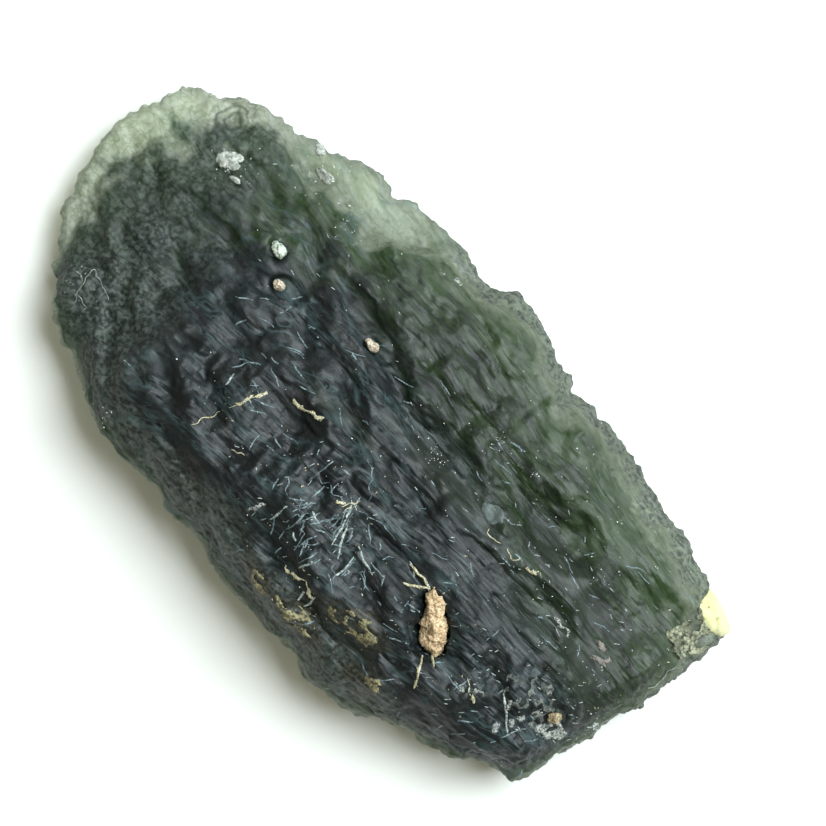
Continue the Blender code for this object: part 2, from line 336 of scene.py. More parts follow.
window_form = (
    0.04 * plates + 0.05 * crests(flow / (4.0, 1.2, 2.0), 91)
    + 0.05 * crests(flow / (2.6, 0.45, 1.0), 93)
)
form = blended(zones, plate_form, pitted=pit_form, side=side_form, chaos=chaos_form,
               window=window_form)
form -= RING_DEPTH * conchoidal(points)
set_points(glass.data, points + normals_of(glass.data) * (form - form.mean())[:, None])
remeshed(glass, FINAL_NET)
print("carved:", len(glass.data.vertices), "points")

# %% Carve the fine striations
points = points_of(glass.data)
flow = flow_of(points)
zones = zones_of(points)
striae = 0.028 * crests(flow / (3.0, 0.34, 0.5), 101) + 0.010 * crests(flow / (1.4, 0.2, 0.3), 103)
grain = 0.026 * crests(points / 0.38, 105) + 0.014 * crests(points / 0.22, 107)
ribs = 0.050 * crests(points / (2.2, 0.5, 0.26), 109) + 0.4 * grain
fine = blended(zones, striae + 0.3 * grain, pitted=1.1 * grain, side=ribs,
               chaos=grain + 0.4 * striae, window=0.35 * striae)
outward = normals_of(glass.data)
rim = ease(-np.abs(outward[:, 2]), -0.6, -0.2)
teeth = 0.30 * gradient_noise(points / 0.62, 111) + 0.16 * gradient_noise(points / 0.33, 113)
fine += rim * teeth
set_points(glass.data, points + outward * (fine - fine.mean())[:, None])
print("fine relief:", round(float(fine.std()), 3), "mm")


# %% Thin the net out, most of all underneath
def triangle_count(mesh):
    """How many triangles the faces make."""
    return sum(len(face.vertices) - 2 for face in mesh.polygons)


def thinned(thing, faces, under_share=0.12):
    """Merge the flattest faces until no more than this many are left, few of them underneath."""
    mesh = thing.data
    down = normals_of(mesh)[:, 2] < -0.25
    under = thing.vertex_groups.new(name="underside")
    under.add([int(index) for index in np.nonzero(down)[0]], 1.0, "REPLACE")
    before = triangle_count(mesh)
    thin = thing.modifiers.new("thin_under", "DECIMATE")
    thin.vertex_group = under.name
    thin.vertex_group_factor = 1000.0
    thin.ratio = 1.0 - down.mean() * (1.0 - under_share)
    apply_modifiers(thing)
    thing.vertex_groups.clear()
    print("triangles:", before, "then", triangle_count(thing.data))
    thin = thing.modifiers.new("thin", "DECIMATE")
    thin.ratio = faces / triangle_count(thing.data)
    apply_modifiers(thing)


thinned(glass, FACE_BUDGET)
points = points_of(glass.data)
low, high = (np.array(corner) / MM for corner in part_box("moldavite_glass"))
points = np.clip(points, low, high)
set_points(glass.data, points)
glass.data.shade_smooth()
print("thinned:", triangle_count(glass.data), "triangles")

# %% [markdown]
# The shader's own fine grain needs to know the flow and the zones too. A mesh attribute carries
# a number for every vertex from numpy to the shader, so both use one map.

# %% Write the flow and zones on the mesh
def write_attribute(mesh, name, values):
    """Keep one number, or one vector, for each vertex."""
    kind, field = ("FLOAT", "value") if values.ndim == 1 else ("FLOAT_VECTOR", "vector")
    attribute = mesh.attributes.new(name, kind, "POINT")
    attribute.data.foreach_set(field, values.astype(np.float32).ravel())


def thickness_of(points, step=0.5):
    """How thick the solid is straight down through each point, in millimetres."""
    solid = BVHTree.FromObject(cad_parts["moldavite_glass"],
                               bpy.context.evaluated_depsgraph_get())
    across = np.arange(low[0] - step, high[0] + step, step)
    up = np.arange(low[1] - step, high[1] + step, step)
    depth = np.zeros((len(across), len(up)))
    for row, x in enumerate(across):
        for column, y in enumerate(up):
            spot = Vector((x, y, 0)) * MM
            top = solid.ray_cast(spot + Vector((0, 0, RAY_START)), DOWN)[0]
            foot = solid.ray_cast(spot - Vector((0, 0, RAY_START)), -DOWN)[0]
            if top and foot:
                depth[row, column] = (top.z - foot.z) / MM
    return grid_value(depth, (points[:, 0] - across[0]) / step, (points[:, 1] - up[0]) / step)


def grid_value(grid, row, column):
    """The grid's value between its points, by how near each of the four is."""
    r, c = row.astype(int), column.astype(int)
    u, v = row - r, column - c
    return ((grid[r, c] * (1 - v) + grid[r, c + 1] * v) * (1 - u)
            + (grid[r + 1, c] * (1 - v) + grid[r + 1, c + 1] * v) * u)


zones = zones_of(points)
thickness = thickness_of(points)
ragged = 1.3 * layered_noise(points / 1.6, 4, seed=131)
clear_rim = ease(points[:, 1] + 0.1 * points[:, 0], 5.0, 9.0) * ease(points[:, 0], -3.0, 4.0)
seen_through = thickness * (1 - 0.25 * clear_rim) + 1.2 * ease(-points[:, 1], 4.0, 7.0)
zones["thin"] = ease(-(seen_through + ragged), -7.0, -1.0)
print("thickness, quartiles:", np.round(np.percentile(thickness, (5, 25, 50, 75, 95)), 2))
flow = flow_of(points)
turned = zones["chaos"][:, None]
write_attribute(glass.data, "flow", flow)
write_attribute(glass.data, "rings", conchoidal(points))
write_attribute(glass.data, "lay", flow * (1 - turned) + turned_flow(flow) * turned)
for name in ("pitted", "window", "side", "clear", "thin", "stained"):
    write_attribute(glass.data, name, zones[name])
print("attributes:", [attribute.name for attribute in glass.data.attributes])

# %% [markdown]
# ## Clear green glass
#
# Moldavite is a natural silica glass with an index of refraction near 1.49. It was never moulded
# or polished: ground water etched its skin. Real glass has no colour of its own skin: light goes
# in, and the iron in it takes away red and blue, more with every millimetre. So a Volume
# Absorption holds the green, and a thin edge is pale and a thick body almost black. The base
# colour below adds painted light to this: it is painted pale where the glass is thin, for the
# light that comes through it.
#
# The etched skin is never quite clean or clear. Its fine ridges scatter light, and its pits hold
# dark dust, so the eye sees a satin, dusty gloss and not a bright one. A share of plain diffuse
# light stands for that, so the transmission stays under 1.

# %% Colours and nodes
def linear(hex_colour):
    """A linear colour from an sRGB hex value."""
    parts = [int(hex_colour[n:n + 2], 16) / 255 for n in (1, 3, 5)]
    return (*(p / 12.92 if p <= 0.04045 else ((p + 0.055) / 1.055) ** 2.4 for p in parts), 1)


def new_material(name):
    """A new material and its main shader."""
    material = bpy.data.materials.new(name)
    material.use_nodes = True
    return material, material.node_tree.nodes["Principled BSDF"]


def connect(material, node, inputs):
    """Link or set a node's inputs, which come in order, or by name or number."""
    rows = inputs.items() if isinstance(inputs, dict) else enumerate(inputs)
    for name, value in rows:
        if isinstance(value, bpy.types.NodeSocket):
            material.node_tree.links.new(value, node.inputs[name])
        else:
            node.inputs[name].default_value = value


def add_node(material, kind, inputs=(), output=0, **settings):
    """Add one node with its settings and links, and give back one of its outputs."""
    node = material.node_tree.nodes.new("ShaderNode" + kind)
    for name, value in settings.items():
        setattr(node, name, value)
    connect(material, node, inputs)
    return node.outputs[output]


print("linear middle grey:", np.round(linear("#808080"), 3))

# %% [markdown]
# A skin pattern is a noise that is drawn out: its place is divided by a size along each axis, so
# a streak can be four millimetres long and half a millimetre wide. A thin line is the place where
# such a noise crosses its middle level. Etching also leaves long splinters of glass side by side;
# they are drawn-out cells, and the bright ones are painted highlights on the splinters.

# %% Patterns for etched glass
def drawn_out(material, place, spacing, detail=1.0):
    """A soft pattern with its own spacing along each axis of the place."""
    scaled = add_node(material, "VectorMath", (place, spacing), operation="DIVIDE")
    return add_node(material, "TexNoise",
                    {"Vector": scaled, "Scale": 1.0, "Detail": detail, "Roughness": 0.55})


def fine_lines(material, pattern, width):
    """1 along the middle level of a pattern, 0 away from it: thin winding lines."""
    away = add_node(material, "Math", (pattern, 0.5), operation="SUBTRACT")
    away = add_node(material, "Math", (away,), operation="ABSOLUTE")
    return add_node(material, "MapRange", (away, width, 0.0))


def splinter_highlights(material, place, spacing, brightness, border):
    """Long cells side by side: some of them are bright, and each fades out at its border."""
    sway = add_node(material, "TexNoise", {"Vector": place, "Scale": 1.4, "Detail": 1.0}, "Color")
    moved = add_node(material, "VectorMath", (sway, (0.7, 0.35, 0.5), place),
                     operation="MULTIPLY_ADD")
    scaled = add_node(material, "VectorMath", (moved, spacing), operation="DIVIDE")
    reach = add_node(material, "TexVoronoi", {"Vector": scaled, "Scale": 1.0}, "Distance")
    painted_glint = add_node(material, "MapRange", (reach.node.outputs["Color"], *brightness))
    inside = add_node(material, "MapRange", (reach, *border))
    return add_node(material, "Math", (painted_glint, inside), operation="MULTIPLY")


def coated(material, colour, coats):
    """A colour with coats over it: each coat hides what is below where its share is 1."""
    for share, coat in coats:
        colour = add_node(material, "Mix", {0: share, 6: colour, 7: coat}, 2, data_type="RGBA")
    return colour


# %% Patterns that follow the flow, in millimetres
moldavite, shader = new_material("etched_moldavite_glass")
connect(moldavite, shader, {"Transmission Weight": 0.80, "IOR": 1.49, "Specular IOR Level": 0.10})
flow_at, lay_at = (add_node(moldavite, "Attribute", output="Vector", attribute_name=name)
                   for name in ("flow", "lay"))
window_at, thin_at, pitted_at, side_at, clear_at, rings_at, stained_at = (
    add_node(moldavite, "Attribute", output="Fac", attribute_name=name)
    for name in ("window", "thin", "pitted", "side", "clear", "rings", "stained"))
object_at = add_node(moldavite, "TexCoord", output="Object")
# The finest real ridges are a tenth of a millimetre; they are drawn up to three times coarser.
FLOW_PATTERNS = {  # size along the flow, across it and in height, and layers of detail
    "striae": ((2.6, 0.30, 0.45), 1.0),
    "fibres": ((1.4, 0.18, 0.25), 1.0),
    "cloud": ((2.0, 0.7, 1.5), 3.0),
    "bundles": ((2.4, 1.1, 1.5), 2.0),
    "long streaks": ((4.2, 0.62, 0.9), 1.0),
    "short streaks": ((1.6, 0.42, 0.6), 1.0),
    "crease_shade": ((3.8, 0.62, 1.0), 2.0),
}
pattern = {name: drawn_out(moldavite, flow_at, size, detail)
           for name, (size, detail) in FLOW_PATTERNS.items()}
pattern["grain"] = drawn_out(moldavite, object_at, (0.24 * MM,) * 3, 2.0)
pattern["swirls"] = drawn_out(moldavite, object_at, (0.62 * MM, 0.5 * MM, 0.6 * MM))
print("patterns:", sorted(pattern))

# %% [markdown]
# The skin has a colour in each zone, and never one flat colour: the crown is blue-black, and its
# paler clouds are a painted sheen; pits and ribs are grey with dust, the clear side is green, and
# the thin edge is painted pale for the light that comes through it. Each is a pair of close
# colours in a fine pattern.

# %% Two close colours for each zone
ZONE_COLOURS = {  # pattern, where it turns from dark to pale, and the two colours
    # The crown's paler colour is a painted sheen.
    "crown": ("cloud", 0.42, 0.66, "#06181B", "#112F35"),
    "clear green": ("cloud", 0.38, 0.62, "#22371A", "#4A6A34"),
    "dusty pits": ("grain", 0.44, 0.60, "#3C4943", "#8F9C94"),
    "ribbed side": ("grain", 0.40, 0.60, "#39423C", "#98A196"),
    "half thin": ("cloud", 0.42, 0.60, "#4A6A34", "#7C8F70"),
    "lit edge": ("grain", 0.35, 0.62, "#D2DABF", "#FAFCF0"),
    "frosted rim": ("grain", 0.40, 0.60, "#5A665C", "#A9B1A4"),
    "iron stain": ("grain", 0.42, 0.60, "#3A3728", "#857C5E"),
}
zone_colour = {}
for name, (by, low, high, dark, pale) in ZONE_COLOURS.items():
    share = add_node(moldavite, "MapRange", (pattern[by], low, high))
    zone_colour[name] = coated(moldavite, linear(dark), ((share, linear(pale)),))
print("zone colours:", len(zone_colour))

# %% The thin edge, painted pale for the light that comes through
shows = {name: add_node(moldavite, "MapRange", row) for name, row in {
    # share: attribute, its range, and the share at each end
    "clear": (clear_at, 0.0, 1.0, 0.0, 0.85),
    "clear edge": (clear_at, 0.0, 1.0, 0.0, 0.75),
    "pitted edge": (pitted_at, 0.0, 1.0, 0.50, 0.0),
    "half thin": (thin_at, 0.35, 0.65),
    "not pitted": (pitted_at, 0.0, 1.0, 1.0, 0.35),
    "rim": (thin_at, 0.90, 0.97),
    "window": (window_at, 0.0, 1.0, 0.0, 0.85),
    "stain": (stained_at, 0.1, 1.0, 0.0, 0.65),
    "rings": (rings_at, 0.35, 0.95, 0.0, 0.75),
    "crease_shade": (thin_at, 0.55, 0.85, 0.7, 0.20),
    "bundles": (pattern["bundles"], 0.46, 0.64, 0.0, 0.65),
    "few in pits": (pitted_at, 0.0, 1.0, 1.0, 0.15),
    "few in clear": (clear_at, 0.0, 1.0, 1.0, 0.5),
}.items()}
deep_edge = add_node(moldavite, "Math", (shows["clear edge"], shows["pitted edge"]),
                     operation="MAXIMUM")
frosted_rim = add_node(moldavite, "Math", (shows["rim"], clear_at), operation="MULTIPLY")
cracks = fine_lines(moldavite, pattern["swirls"], 0.05)
edge = coated(moldavite, zone_colour["lit edge"], (
    (deep_edge, linear("#92A180")),
    (frosted_rim, zone_colour["frosted rim"]),
    (cracks, linear("#B9C5A8")),
))
# Painted light: the pale edge colours and the paler green of half-thin glass stand for light coming
# through thin glass.
thinness = add_node(moldavite, "Math", (pitted_at, -0.05, thin_at), operation="MULTIPLY_ADD")
at_edge = add_node(moldavite, "MapRange", (thinness, 0.80, 0.90))
half_thin = add_node(moldavite, "Math", (shows["half thin"], shows["not pitted"]),
                     operation="MULTIPLY")
print("shares:", len(shows))

# %% Painted shade in the creases and painted highlights on the ridges
# The dark crease lines are painted shade.
crease_shade = add_node(moldavite, "Math",
                   (fine_lines(moldavite, pattern["crease_shade"], 0.07), shows["crease_shade"]),
                   operation="MULTIPLY")
# Painted highlights: pale streaks and bright splinters stand for light caught on the sharp ridges.
RIDGE_HIGHLIGHTS = (
    fine_lines(moldavite, pattern["long streaks"], 0.06),
    fine_lines(moldavite, pattern["short streaks"], 0.06),
    splinter_highlights(moldavite, lay_at, (2.4, 0.34, 0.6), (0.70, 0.90, 0.0, 0.20), (0.55, 0.30)),
    splinter_highlights(moldavite, lay_at, (1.3, 0.19, 0.35), (0.76, 0.86, 0.0, 0.70), (0.50, 0.25)),
)
ridges = RIDGE_HIGHLIGHTS[0]
for more in RIDGE_HIGHLIGHTS[1:]:
    ridges = add_node(moldavite, "Math", (ridges, more), operation="MAXIMUM")
for fade in ("bundles", "few in pits", "few in clear"):
    ridges = add_node(moldavite, "Math", (ridges, shows[fade]), operation="MULTIPLY")
ridge_highlight_colour = coated(moldavite, linear("#7C9EA3"), ((clear_at, linear("#8FA384")),))
print("ridge patterns:", len(RIDGE_HIGHLIGHTS))

# %% Colour of the skin, coat by coat
SKIN_COATS = (
    (shows["clear"], zone_colour["clear green"]),
    (pitted_at, zone_colour["dusty pits"]),
    (side_at, zone_colour["ribbed side"]),
    (half_thin, zone_colour["half thin"]),
    (at_edge, edge),
    (shows["window"], linear("#22371A")),
    (shows["stain"], zone_colour["iron stain"]),
    # Painted shade: the grooves of the shell-shaped chip are coloured darker.
    (shows["rings"], linear("#3C4943")),
    # Painted shade in the creases, then painted highlights on the ridges.
    (crease_shade, linear("#06181B")),
    (ridges, ridge_highlight_colour),
)
connect(moldavite, shader, {"Base Color": coated(moldavite, zone_colour["crown"], SKIN_COATS)})
print("coats on the crown:", len(SKIN_COATS))

# %% [markdown]
# The relief that is too fine for the mesh is a bump: striae along the flow, finer fibres on them,
# and grain. It is seven hundredths of a millimetre deep. Etched glass is satin; only the windows
# are a little smoother.

# %% Gloss and fine relief
BUMP_DEPTH = 0.07 * MM
gloss = add_node(moldavite, "MapRange", (pattern["striae"], 0.35, 0.65, 0.46, 0.60))
gloss = add_node(moldavite, "Math", (pitted_at, 0.12, gloss), operation="MULTIPLY_ADD")
relief = pattern["striae"]
for name, share in (("fibres", 0.3), ("grain", 0.35)):
    relief = add_node(moldavite, "Math", (pattern[name], share, relief), operation="MULTIPLY_ADD")
smoother = add_node(moldavite, "MapRange", (window_at, 0.0, 1.0, 1.0, 0.45))
relief = add_node(moldavite, "Math", (relief, smoother), operation="MULTIPLY")
bump = add_node(moldavite, "Bump", {"Height": relief, "Strength": 1.0, "Distance": BUMP_DEPTH})
connect(moldavite, shader, {"Roughness": gloss, "Normal": bump})
print("bump depth:", round(BUMP_DEPTH / MM, 3), "mm")

# %% Green inside the glass
GREEN_LEFT = (0.52, 0.64, 0.50, 1)  # share of red, green and blue that the glass spares
GREEN_DENSITY = 230.0
absorb = add_node(moldavite, "VolumeAbsorption", {"Color": GREEN_LEFT, "Density": GREEN_DENSITY})
connect(moldavite, moldavite.node_tree.nodes["Material Output"], {"Volume": absorb})
glass.data.materials.clear()
glass.data.materials.append(moldavite)
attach(glass, BODY)
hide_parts("moldavite_glass")
print(moldavite.name, "has", len(moldavite.node_tree.nodes), "nodes")

# %% [markdown]
# ## Reading places off the skin
#
# Everything that lies on the stone has to follow its carved skin. A straight ray dropped from
# above finds the skin's height and the way it faces at any place in the plan.

# %% Drop a point onto the skin
skin_tree = BVHTree.FromObject(glass, bpy.context.evaluated_depsgraph_get())


def dropped(x, y):
    """The point of the skin straight under (x, y), in millimetres, and the skin's normal there."""
    point, normal, _, _ = skin_tree.ray_cast(Vector((x * MM, y * MM, RAY_START)), DOWN)
    if point is None:
        return None, None
    return np.array(point) / MM, np.array(normal)


def mesh_thing(name, points, faces, material, smooth=True):
    """A new object from points in millimetres; it rides the stone's body."""
    mesh = bpy.data.meshes.new(name)
    mesh.from_pydata([tuple(p) for p in np.asarray(points) * MM], [], faces)
    mesh.validate()
    if smooth:
        mesh.shade_smooth()
    else:
        mesh.shade_flat()
    mesh.materials.append(material)
    thing = bpy.data.objects.new(name, mesh)
    bpy.context.scene.collection.objects.link(thing)
    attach(thing, BODY)
    return thing


print("skin over the middle:", round(float(dropped(0, 0)[0][2]), 2), "mm high")

# %% [markdown]
# ## Minerals in the grooves
#
# Clay, lime and sand all look alike to a shader: small grains in two or three close colours,
# tiny dark gaps between them, and no gloss. One recipe serves them, with the colours and the
# grain size of each.

# %% A recipe for grainy mineral
MINERAL_IOR = 1.54  # quartz; clay and lime are close to it


def grainy_mineral(name, dark, pale, gap, grain_size, roughness=0.9, relief=0.4, clear=0.0):
    """Grains between two colours, with darker gaps between them; grain_size in millimetres."""
    material, shader = new_material(name)
    place = add_node(material, "TexCoord", output="Object")
    tone = drawn_out(material, place, (grain_size * 4 * MM,) * 3, 3.0)
    grains = add_node(material, "TexVoronoi",
                      {"Vector": place, "Scale": 1.0 / (grain_size * MM)}, "Distance")
    is_pale = add_node(material, "MapRange", (tone, 0.38, 0.62))
    is_gap = add_node(material, "MapRange", (grains, 0.45, 0.80))
    colour = coated(material, linear(dark), ((is_pale, linear(pale)), (is_gap, linear(gap))))
    gloss = add_node(material, "MapRange",
                     (tone, 0.3, 0.7, roughness - 0.1, min(1.0, roughness + 0.05)))
    bump = add_node(material, "Bump", {"Height": grains, "Strength": 1.0,
                                       "Distance": -relief * grain_size * MM})
    connect(material, shader, {"Base Color": colour, "Normal": bump, "Roughness": gloss,
                               "Transmission Weight": clear, "IOR": MINERAL_IOR})
    print(name, "grains of", grain_size, "mm")
    return material


# %% [markdown]
# ## Clay crumb
#
# The biggest piece is a crumb of the clay the stone lay in: two lumps pressed into one pit. Dry
# clay breaks with a rough, matte, tan face full of pinholes. Its clay flakes are far too small
# to draw, so the grain here stands for the sand in it.

# %% Dress the lodged solids
def lodged_piece(node, name, net, carve, material):
    """A finely carved piece in place of a solid; carve gives its relief in millimetres."""
    thing = bpy.data.objects.new(name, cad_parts[node].data.copy())
    bpy.context.scene.collection.objects.link(thing)
    remeshed(thing, net * MM)
    points = points_of(thing.data)
    low, high = (np.array(corner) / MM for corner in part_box(node))
    relief = carve(points)
    points = points + normals_of(thing.data) * (relief - relief.max() * 0.5)[:, None]
    set_points(thing.data, np.clip(points, low, high))
    thing.data.shade_smooth()
    thing.data.materials.clear()
    thing.data.materials.append(material)
    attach(thing, BODY)
    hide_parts(node)
    print(name, len(thing.data.polygons), "faces")


def crumb_relief(points):
    """Lumps, chipped faces and pinholes of dry clay."""
    holes, faces = cells(points / 0.5, 201)
    return (0.14 * crests(points / 0.8, 203) + 0.05 * crests(points / 0.24, 205) + 0.12 * faces
            - 0.10 * np.exp(-(holes / 0.18) ** 2))


# Dried clay, pressed into the pit and dried by air: matte and warm tan, darker in its pores.
clay = grainy_mineral("dried_clay", "#B79C7A", "#DEC6A2", "#937651", 0.10, relief=0.25)
lodged_piece("clay_crumb", "dried_clay_crumb", 0.05, crumb_relief, clay)

# %% [markdown]
# ## Sand grains
#
# A chip of milky quartz is cloudy because it is full of tiny cracks, so it gets a little light
# through it and a smoother face. The sand grains are the same mineral stained by iron, from
# pale tan to rusty brown. River sand of this size is half a millimetre across.

# %% Quartz chip, ochre grains, rusty pebble
# Milky quartz, broken and worn by water: greenish white, satin, a little light inside.
quartz = grainy_mineral("milky_quartz", "#AAB8A8", "#D6DED0", "#8C9A88", 0.20, 0.45, 0.15, 0.25)
# Quartz sand with a thin iron skin, rolled in a river: pale pinkish tan, half matte.
ochre = grainy_mineral("ochre_sand", "#A0907C", "#CCBFAB", "#786A58", 0.10, 0.75, 0.3)
# The same sand with more iron and clay on it: dull brown-tan, rough to the eye.
rust = grainy_mineral("rusty_sand", "#857558", "#B5A685", "#61523C", 0.12, 0.75, 0.4)
lodged_piece("quartz_chip", "milky_quartz_chip", 0.035,
             lambda p: 0.06 * clefts(p / 0.35, 211, 0.1) + 0.03 * crests(p / 0.16, 213),
             quartz)
lodged_piece("ochre_grain", "ochre_sand_grain", 0.03,
             lambda p: 0.05 * crests(p / 0.2, 215), ochre)
lodged_piece("ring_grain", "curled_sand_grain", 0.03,
             lambda p: 0.05 * crests(p / (0.12, 0.4, 0.3), 217), ochre)
lodged_piece("rust_pebble", "rusty_sand_pebble", 0.035,
             lambda p: 0.07 * crests(p / 0.28, 219) + 0.03 * crests(p / 0.13, 221),
             rust)

# %% [markdown]
# ## Crusts and stains
#
# Ground water leaves thin crusts where it dries: lime, clay wash and iron stain. A crust is
# only a few hundredths of a millimetre thick and follows every groove below it. So each one is
# made from the skin itself: the faces under it are lifted a little, thin out at the ragged
# border, and are closed from below.

# %% The skin as arrays
glass.data.calc_loop_triangles()
corner_index = np.empty(len(glass.data.loop_triangles) * 3, dtype=np.int64)
glass.data.loop_triangles.foreach_get("vertices", corner_index)
skin_faces = corner_index.reshape(-1, 3)
skin_points = points_of(glass.data)
skin_normals = normals_of(glass.data)
print("skin faces:", len(skin_faces))

# %% Grow a crust on the skin
CRUST_ROOT = 0.05  # how deep a crust reaches into the glass below it
CRUST_SINK = 0.02  # how far its border lies under the skin
SMALLEST_FLAKE = 16  # faces; anything smaller falls off


def drop_small_flakes(mesh):
    """Delete every point where two flakes only just touch, and every flake of only a few faces."""
    shape = bmesh.new()
    shape.from_mesh(mesh)
    pinched = True
    while pinched:
        pinched = [v for v in shape.verts if sum(edge.is_boundary for edge in v.link_edges) > 2]
        bmesh.ops.delete(shape, geom=pinched, context="VERTS")
    seen = set()
    small = []
    for start in shape.faces:
        if start in seen:
            continue
        seen.add(start)
        island, edge_of = [start], [start]
        while edge_of:
            face = edge_of.pop()
            for edge in face.edges:
                for other in edge.link_faces:
                    if other not in seen:
                        seen.add(other)
                        island.append(other)
                        edge_of.append(other)
        if len(island) < SMALLEST_FLAKE:
            small += island
    bmesh.ops.delete(shape, geom=small, context="FACES")
    bare = [edge for edge in shape.edges if not edge.link_faces]
    bmesh.ops.delete(shape, geom=bare, context="EDGES")
    bare = [point for point in shape.verts if not point.link_faces]
    bmesh.ops.delete(shape, geom=bare, context="VERTS")
    shape.to_mesh(mesh)
    shape.free()


def crust(name, mask, lift, material, roughness=0.0, seed=0):
    """A thin closed crust over the part of the skin where the mask is over one half."""
    kept = skin_faces[(mask[skin_faces] > 0.5).all(axis=1)]
    used, faces = np.unique(kept, return_inverse=True)
    faces = faces.reshape(-1, 3)
    swell = ease(mask[used], 0.5, 0.85)
    _, facets = cells(skin_points[used] / 0.7, seed)
    bumps = roughness * (0.5 + facets + 0.8 * gradient_noise(skin_points[used] / 0.25, seed))
    height = -CRUST_SINK + (lift + CRUST_SINK + bumps.clip(0)) * swell
    top = skin_points[used] + skin_normals[used] * height[:, None]
    thing = mesh_thing(name, top, [tuple(int(i) for i in face) for face in faces], material)
    drop_small_flakes(thing.data)
    shell = thing.modifiers.new("shell", "SOLIDIFY")
    shell.thickness = (lift + CRUST_ROOT) * MM
    shell.offset = -1
    apply_modifiers(thing)
    thing.data.shade_smooth()
    print(name, len(thing.data.polygons), "faces")


# %% Shapes of the stained places
def spots(rows):
    """The strongest of several ragged ovals: (x, y, length, width, turn) in millimetres."""
    facing = ease(skin_normals[:, 2], 0.0, 0.3)
    return facing * np.maximum.reduce([patch(skin_points, *row) for row in rows])


def sugary(mask, size, seed):
    """The mask broken into separate round grains of about this size."""
    near, _ = cells(skin_points / size, seed)
    return mask * ease(-near, -0.62, -0.38)


def rounded(x, y, length, width, turn=0.0):
    """One smooth oval that also reaches over the rim."""
    lean = math.radians(turn)
    right, up = skin_points[:, 0] - x, skin_points[:, 1] - y
    reach = np.hypot((right * math.cos(lean) + up * math.sin(lean)) / length,
                     (up * math.cos(lean) - right * math.sin(lean)) / width)
    reach += 0.12 * gradient_noise(skin_points / 0.9, 249)
    return ease(-reach, -1.0, -0.2) * (skin_points[:, 2] > 0.8)


def speckled(mask, size, share, seed):
    """The mask broken into flecks of about this size; share is how much of it stays."""
    return mask * ease(gradient_noise(skin_points / size, seed), -share - 0.10, -share + 0.10)


print("stained share of the skin:", round(float((spots(STAINS) > 0.5).mean()), 3))

# %% [markdown]
# The thick side carries a yellow-brown iron stain around two glossy windows. The sharp corner of
# the broken end has a pale grey-yellow crust that ends in a soft yellow lobe, and sugary white
# lime sits in a hollow near the rounded end.

# %% Silt and lime film
GRAIN_RINGS = ((-10.1, 2.6, 1.3, 0.9, 50), (-8.6, 1.4, 0.8, 0.8, 0), (-3.0, 3.1, 0.8, 0.6, 0),
        (18.0, -2.0, 1.0, 1.0, 0))
# A nearly black, fine and matte film round each lodged grain.
grain_ring_film = grainy_mineral("dark_film_round_grains", "#28322F", "#4A5652", "#1C2423", 0.12, relief=0.4)
crust("dark_film_round_grains", np.maximum.reduce([rounded(*row) for row in GRAIN_RINGS]), 0.004, grain_ring_film, 0.01, 9)
HAZE = ((12.9, -1.4, 2.6, 0.9, 50), (13.6, -4.8, 3.0, 1.4, 20), (16.0, -4.0, 3.0, 1.2, 130),
        (5.8, -5.6, 2.6, 0.9, 60), (-0.4, -6.6, 2.2, 0.8, 100), (14.5, 1.2, 2.0, 0.6, 0),
        (17.0, -3.4, 2.4, 1.3, 50), (18.6, -0.9, 1.4, 0.9, 60), (17.4, 4.2, 1.8, 0.7, 10),
        (-3.0, 8.6, 1.4, 0.8, 0))
# A film of lime that dried in the hollows: grey, chalky, in separate small grains.
haze = grainy_mineral("grey_lime_film", "#656966", "#B0B3AB", "#3A3E3C", 0.10, relief=0.5)
crust("lime_film", sugary(spots(HAZE), 0.42, 239), 0.01, haze, 0.03, 10)

# %% Iron stain and sugary lime
# Clay washed down the side with iron in it, and dried: dull yellow-brown with dark pores.
iron_wash = grainy_mineral("iron_clay_wash", "#6F6A4C", "#A39C78", "#3E3B2C", 0.16, relief=0.5)
crust("iron_wash_stain", speckled(spots(STAINS), 0.5, 0.12, 231), 0.03, iron_wash, 0.04, 1)
SUGAR = ((-15.4, 3.7, 1.6, 1.3, 60), (-11.6, 7.0, 1.2, 0.8, 10), (-12.8, 7.7, 0.9, 0.7, 0),
         (-14.4, 3.2, 0.9, 0.4, 20))
# Lime grown from water as tiny crystals: white, sugary, and a little light comes through.
lime = grainy_mineral("white_lime", "#A8AEA4", "#DEE0D8", "#8E948A", 0.14, relief=0.25, clear=0.25)
crust("sugary_lime", spots(SUGAR), 0.02, lime, 0.05, 2)

# %% The crust and lobe at the broken corner
CORNER = ((19.5, 5.9, 2.7, 2.3, 60), (18.9, 7.2, 1.4, 0.8, 20))
# Clay that stuck to the fresh break and dried in lumps: grey-yellow, crumbly, dark between.
corner_clay = grainy_mineral("grey_yellow_clay", "#5C5F4C", "#A2A48A", "#383A2C", 0.22, relief=0.5)
crust("corner_clay_crust", speckled(spots(CORNER), 0.7, 0.30, 235), 0.02, corner_clay, 0.16, 3)
LOBE = (19.8, 8.2, 2.3, 2.0)
# A pale yellow, smooth lobe at the broken corner, in which light spreads.
yellow = grainy_mineral("pale_yellow_smooth", "#E4E19C", "#F6F4C8", "#ECE9B4", 0.45, relief=0.05,
                        clear=0.3)
crust("yellow_lobe", rounded(*LOBE), 0.20, yellow, 0.03, 4)

# %% [markdown]
# Nearer the broken end the deposits are only films. A film is thinner than anything the mesh can
# show, yet it isn't a flat decal: it breaks up where the skin is rough. So the same recipe is
# used with almost no lift, and the mask is first broken into flecks or grains.

# %% Thin films near the broken end, and one frosted flake
MAUVE = ((17.1, 1.6, 2.4, 1.9, 30),)
